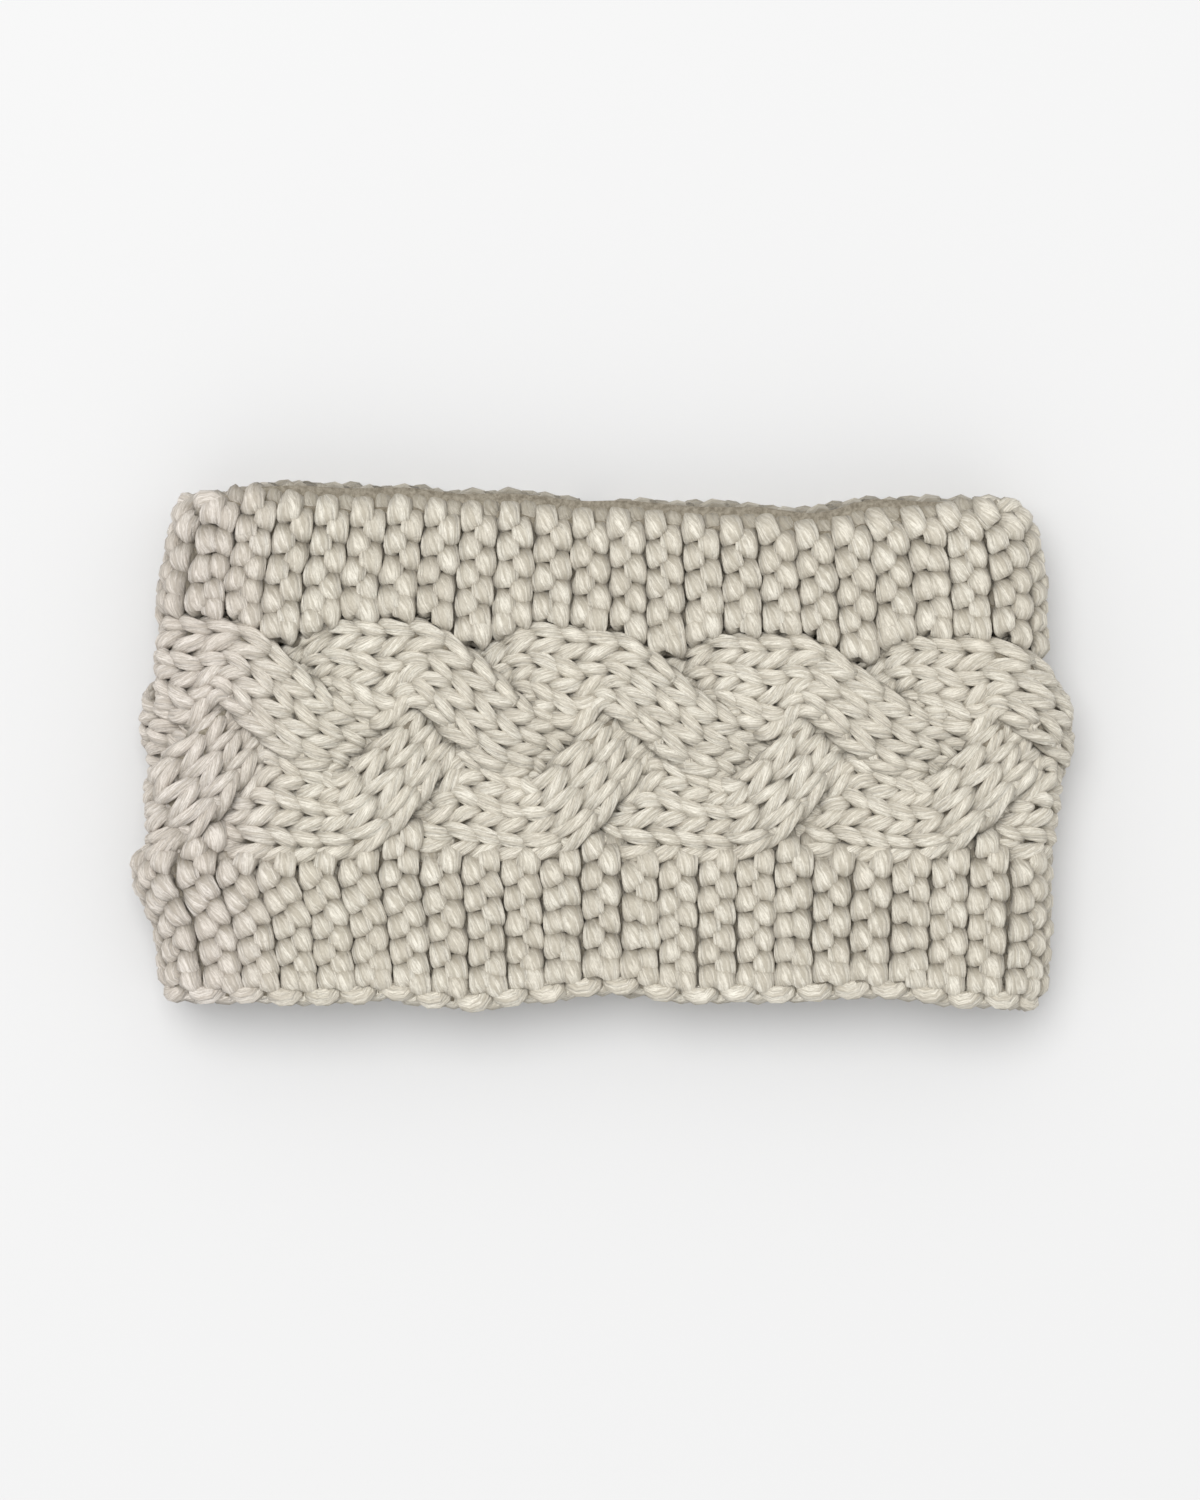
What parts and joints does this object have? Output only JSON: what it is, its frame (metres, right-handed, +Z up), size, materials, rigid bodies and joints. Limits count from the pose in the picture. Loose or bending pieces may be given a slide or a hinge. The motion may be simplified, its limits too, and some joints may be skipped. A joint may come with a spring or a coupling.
{
  "type": "ear warmer headband",
  "caption": "Wide hand-knitted head band lying flat: a loop with a plaited cable between two ribbed garter stitch borders.",
  "frame": {"origin": "on the surface that the band lies on, under the middle of its folded outline, at the back seam's underside", "axes": "+X from the left fold to the right one, +Y across the band towards its upper edge, +Z up from the surface through the front"},
  "size_m": [0.2206, 0.126, 0.027],
  "materials": {
    "wool_yarn": "soft matt plied wool"
  },
  "bodies": {
    "root": {"garter_border_upper": "wool_yarn", "garter_border_lower": "wool_yarn", "cable_strand_1": "wool_yarn", "cable_strand_2": "wool_yarn", "cable_strand_3": "wool_yarn", "back_seam": "wool_yarn"}
  },
  "joints": []
}
